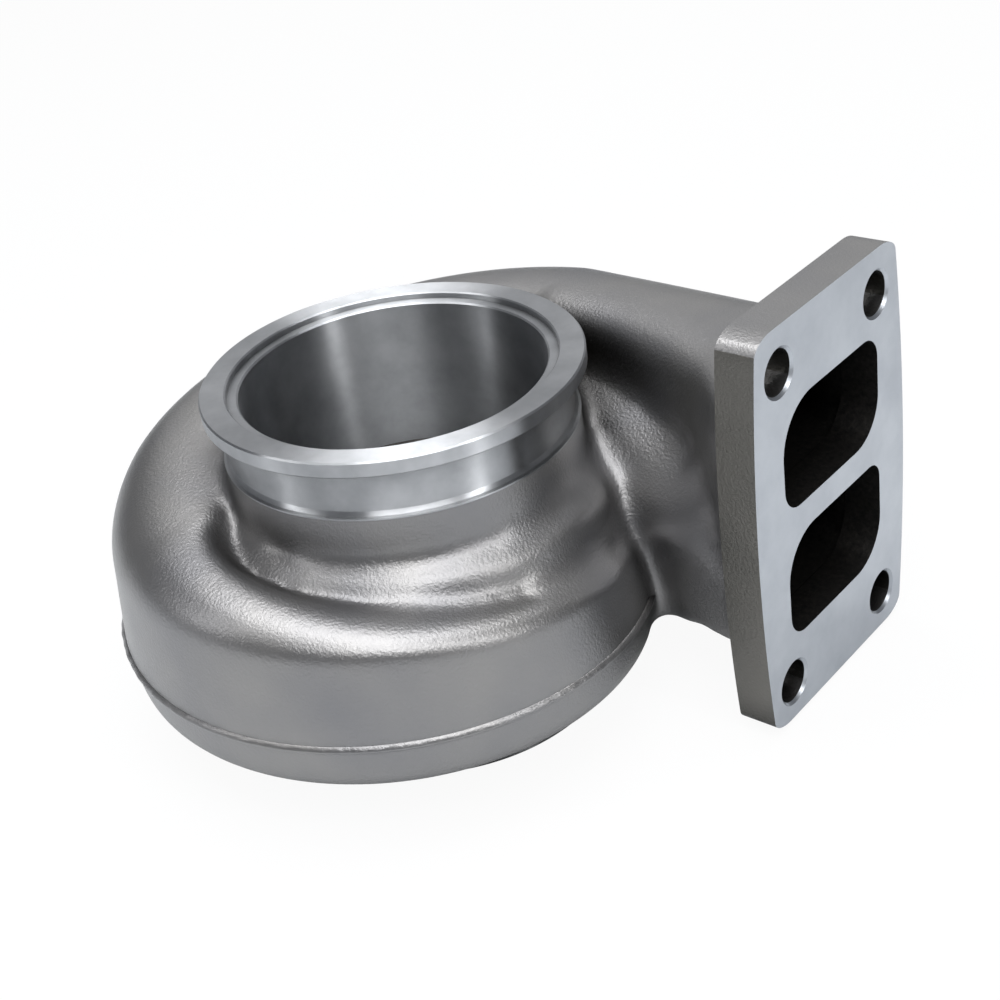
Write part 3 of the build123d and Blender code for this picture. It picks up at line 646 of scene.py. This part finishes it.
# Ground iron: the gasket face, even and dull silver with fine straight marks of
# the wheel. The plate's sides are left as cast and fettled.
ground, tree = new_material("ground_iron")
place = add_node(tree, "ShaderNodeTexCoord").outputs["Object"]
along = add_node(tree, "ShaderNodeMapping", {}, Vector=place, Scale=(1.0, 0.03, 1.0))
marks = add_node(tree, "ShaderNodeTexNoise", {}, Vector=along.outputs[0], Scale=1000 / 0.8, Detail=2.0, Roughness=0.6)
haze = add_node(tree, "ShaderNodeTexNoise", {}, Vector=place, Scale=1000 / 14, Detail=4.0, Roughness=0.6)
tone = ramp(tree, haze.outputs["Fac"], 0.3, 0.7, "a6aab0", "b4b8bd")
bump = add_node(tree, "ShaderNodeBump", {}, Strength=0.15, Distance=0.00006, Height=marks.outputs["Fac"])
skin = add_node(tree, "ShaderNodeBsdfPrincipled", {}, Base_Color=tone.outputs["Color"],
                Metallic=1.0, Roughness=0.36, Normal=bump.outputs["Normal"])
add_node(tree, "ShaderNodeOutputMaterial", {}, Surface=skin.outputs["BSDF"])
flange.data.materials.clear()
flange.data.materials.append(ground)
flange.data.materials.append(cast_iron)
for f in flange.data.polygons:
    f.material_index = 0 if f.normal.x > 0.5 else 1
# the long near side: its brown is the furnace scale it keeps, its darker tone is painted shade
scale_and_shade = cast_iron.copy()
scale_and_shade.name = "scale_and_painted_shade_iron"
for stop, code in zip(scale_and_shade.node_tree.nodes["iron_tone"].color_ramp.elements, ("5f5e5a", "6c6a66")):
    stop.color = linear(code)
crisp(flange, 30)
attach(flange, "root")
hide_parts("turbine_housing")

# ---------------------------------------------------------------------------
# Gas passages: the two cored ways from the ports into the scroll, with the
# divider wall between them and the slot round the wheel. A copy of the CAD
# casting, of which only the cored walls are kept.
# ---------------------------------------------------------------------------
SKIN_REACH, WALL_REACH, WALL_CLEAR = 2.2, 3.0, 0.8       # how near the outer skin a face is dropped
TURNED_R, WHEEL_ROOM_R = 42.5, 41.0
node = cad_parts["turbine_housing"]
bpy.ops.object.select_all(action="DESELECT")
passages = node.copy()
passages.data = node.data.copy()
passages.parent = None
passages.name = "gas_passages"
bpy.context.scene.collection.objects.link(passages)
passages.hide_viewport = passages.hide_render = False
passages.hide_set(False)
passages.select_set(True)
bpy.context.view_layer.objects.active = passages
bpy.ops.object.mode_set(mode="EDIT")
bpy.ops.mesh.select_all(action="SELECT")
bpy.ops.mesh.remove_doubles(threshold=2e-6)
bpy.ops.mesh.select_mode(type="FACE")
bpy.ops.mesh.select_all(action="DESELECT")
casting_tree = BVHTree.FromObject(casting, bpy.context.evaluated_depsgraph_get())
work = bmesh.from_edit_mesh(passages.data)
for f in work.faces:
    c = f.calc_center_median()
    r, z = sqrt(c.x ** 2 + c.y ** 2) / MM, c.z / MM
    near_skin = casting_tree.find_nearest(c, SKIN_REACH * MM)[0] is not None
    for v in f.verts:
        spot, normal = casting_tree.find_nearest(v.co, WALL_REACH * MM)[:2]
        near_skin = near_skin or (spot is not None and (v.co - spot).dot(normal) > -WALL_CLEAR * MM)
    in_flange = c.x > (FLANGE_BACK - 0.05) * MM
    in_bore = r < TURNED_R and not abs(z - NOZZLE_FLOOR_Z) < 0.4
    in_rim = r < OUTLET_R + 1 and z > NECK_FOOT_Z
    f.select = near_skin or in_flange or in_bore or in_rim or z < NOZZLE_FLOOR_Z - 1
bmesh.update_edit_mesh(passages.data)
bpy.ops.mesh.delete(type="FACE")
bpy.ops.object.mode_set(mode="OBJECT")

# The cored walls: as cast, never touched by a tool, and painted near black: painted shade for the inside of the
# passages.
cored, tree = new_material("cored_iron_painted_shade")
place = add_node(tree, "ShaderNodeTexCoord").outputs["Object"]
sand = add_node(tree, "ShaderNodeTexNoise", {}, Vector=place, Scale=1000 / 1.3, Detail=3.0, Roughness=0.6)
# painted shade: a near-black colour stands in for the dark inside the passages
tone = ramp(tree, sand.outputs["Fac"], 0.3, 0.7, "1b1b1b", "2f2d2b")
bump = add_node(tree, "ShaderNodeBump", {}, Strength=0.5, Distance=0.00025, Height=sand.outputs["Fac"])
skin = add_node(tree, "ShaderNodeBsdfPrincipled", {}, Base_Color=tone.outputs["Color"],
                Metallic=0.85, Roughness=0.5, Normal=bump.outputs["Normal"])
add_node(tree, "ShaderNodeOutputMaterial", {}, Surface=skin.outputs["BSDF"])
passages.data.materials.clear()
passages.data.materials.append(cored)
# the port walls in the plate carry the same near-black painted shade
flange.data.materials.append(cored)
flange.data.materials.append(scale_and_shade)
for f in flange.data.polygons:
    c = f.center / MM
    in_port = abs(c.y - FLANGE_Y) < PORT_W / 2 + 0.1 and PORT_BOTTOM - 0.1 < c.z - FLANGE_Z < PORT_TOP + 0.1
    if in_port and c.x < FLANGE_X - 0.3 and abs(f.normal.x) < 0.5:
        f.material_index = 2
    # painted shade: the long near side takes the darker iron
    elif f.normal.y < -0.9:
        f.material_index = 3
# and the turned bore ends where the wheel's own hollow begins, painted near black in the same painted shade
outlet.data.materials.append(cored)
for f in outlet.data.polygons:
    in_hollow = f.center.z < (BORE_FLOOR_Z + 0.4) * MM and f.center.xy.length < WHEEL_ROOM_R * MM
    f.material_index = 1 if in_hollow else 0
crisp(passages, 32)
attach(passages, "root")
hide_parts("turbine_housing")

# ---------------------------------------------------------------------------
# Studio: a plain pale floor, soft lights overhead, in front and behind, a narrow
# one at each side that draws a streak down the bore, and the camera where the
# photograph was taken from.
# ---------------------------------------------------------------------------
bpy.ops.mesh.primitive_plane_add(size=6, location=(0, 0, -0.0003))
floor = bpy.context.object
floor.name = "studio_floor"
bpy.ops.object.transform_apply(location=True, rotation=True, scale=True)
# White paper, matt: white to the camera, and with the object's shadow on it.
paper, tree = new_material("white_paper")
matt = add_node(tree, "ShaderNodeBsdfDiffuse", {}, Color=linear("d0d2d4"))
glow = add_node(tree, "ShaderNodeEmission", {}, Color=(1, 1, 1, 1), Strength=1.0)
seen = add_node(tree, "ShaderNodeLightPath")
pick = add_node(tree, "ShaderNodeMixShader", {}, i1=matt.outputs[0], i2=glow.outputs[0])
share = add_node(tree, "ShaderNodeMath", {"operation": "MULTIPLY"}, i0=seen.outputs["Is Camera Ray"], i1=0.94)
tree.links.new(share.outputs[0], pick.inputs[0])
add_node(tree, "ShaderNodeOutputMaterial", {}, Surface=pick.outputs[0])
floor.data.materials.append(paper)

world = bpy.data.worlds.new("studio")
bpy.context.scene.world = world
world.use_nodes = True
tree = world.node_tree
tree.nodes.clear()
seen = add_node(tree, "ShaderNodeLightPath")
room = add_node(tree, "ShaderNodeBackground", {}, Color=linear("f0f3fa"), Strength=0.19)
white = add_node(tree, "ShaderNodeBackground", {}, Color=(1, 1, 1, 1), Strength=1.0)
pick = add_node(tree, "ShaderNodeMixShader", {}, i0=seen.outputs["Is Camera Ray"],
                i1=room.outputs[0], i2=white.outputs[0])
add_node(tree, "ShaderNodeOutputWorld", {}, Surface=pick.outputs[0])


def soft_light(name, place, target, size, watts):
    lamp = bpy.data.lights.new(name, "AREA")
    lamp.shape, lamp.size, lamp.size_y, lamp.energy = "RECTANGLE", size[0], size[1], watts
    obj = bpy.data.objects.new(name, lamp)
    bpy.context.scene.collection.objects.link(obj)
    obj.location = place
    obj.rotation_euler = (Vector(target) - Vector(place)).to_track_quat("-Z", "Y").to_euler()


soft_light("overhead", (-0.05, 0.02, 0.9), (0, 0.02, 0.05), (0.8, 0.8), 10.4)
soft_light("front", (0.44, -0.46, 0.85), (0, 0.02, 0.05), (0.75, 0.5), 6.0)
soft_light("behind", (-0.55, 0.6, 0.6), (0, 0.0, 0.08), (1.2, 0.9), 1.9)
soft_light("left", (-0.5, -0.72, 0.6), (0, 0, 0.08), (0.09, 0.8), 1.9)
soft_light("right", (0.87, -0.05, 0.6), (0, 0, 0.08), (0.13, 0.8), 3.4)

CAM_YAW, CAM_PITCH, CAM_ROLL = 0.7589540, 0.5378657, -0.1526507
CAM_PLACE = (273.12, -257.01, 271.76)
FOCAL_PX, FRAME_PX, SENSOR = 1684.364, 1000.0, 36.0
ahead = Vector((-sin(CAM_YAW) * cos(CAM_PITCH), cos(CAM_YAW) * cos(CAM_PITCH), -sin(CAM_PITCH)))
level = Vector((cos(CAM_YAW), sin(CAM_YAW), 0))
up = level.cross(ahead)
side = cos(CAM_ROLL) * level + sin(CAM_ROLL) * up
top = -sin(CAM_ROLL) * level + cos(CAM_ROLL) * up
data = bpy.data.cameras.new("camera")
data.sensor_width, data.lens = SENSOR, FOCAL_PX / FRAME_PX * SENSOR
data.clip_start, data.clip_end = 0.01, 20
camera = bpy.data.objects.new("camera", data)
bpy.context.scene.collection.objects.link(camera)
camera.matrix_world = Matrix((
    (side.x, top.x, -ahead.x, CAM_PLACE[0] * MM), (side.y, top.y, -ahead.y, CAM_PLACE[1] * MM),
    (side.z, top.z, -ahead.z, CAM_PLACE[2] * MM), (0, 0, 0, 1)))
bpy.context.scene.camera = camera
bpy.context.scene.view_settings.view_transform = "Standard"
